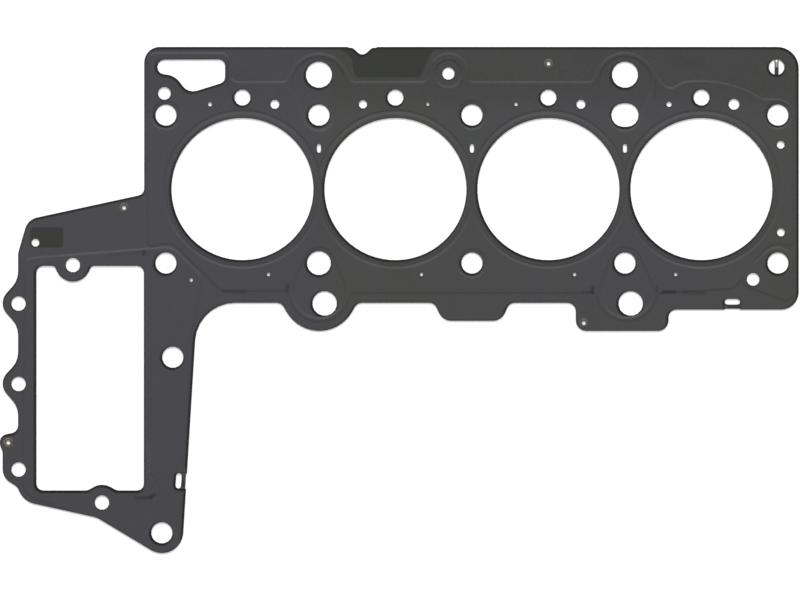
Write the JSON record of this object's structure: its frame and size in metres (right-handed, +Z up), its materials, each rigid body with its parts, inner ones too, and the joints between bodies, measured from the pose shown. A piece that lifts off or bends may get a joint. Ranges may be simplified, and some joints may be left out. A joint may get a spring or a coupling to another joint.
{
  "type": "cylinder head gasket",
  "caption": "Multi-layer steel cylinder head gasket for an inline four-cylinder engine with a chain case, beaded face up, with eyelet rivets.",
  "frame": {"origin": "axis of bore 1, the bore next to the chain case, in the plane of the gasket's underside", "axes": "+X along the row of bores away from the chain case; +Y in the plane of the gasket, to the side with the edge notch; +Z up, out of the beaded face"},
  "size_m": [0.4752, 0.301, 0.0017],
  "materials": {
    "coated_steel": "matt dark grey sealing coat on sheet steel",
    "carrier_steel": "dull dark sheet steel",
    "eyelet_copper": "coppery, dull",
    "eyelet_steel": "yellowed plating, dull",
    "eyelet_brass": "dull brass"
  },
  "bodies": {
    "root": {"carrier_plate": "carrier_steel", "face_layer": "coated_steel", "eyelet_deck_left": "eyelet_copper", "eyelet_deck_top": "eyelet_steel", "eyelet_deck_foot": "eyelet_steel", "eyelet_chain_case": "eyelet_brass"}
  },
  "joints": []
}
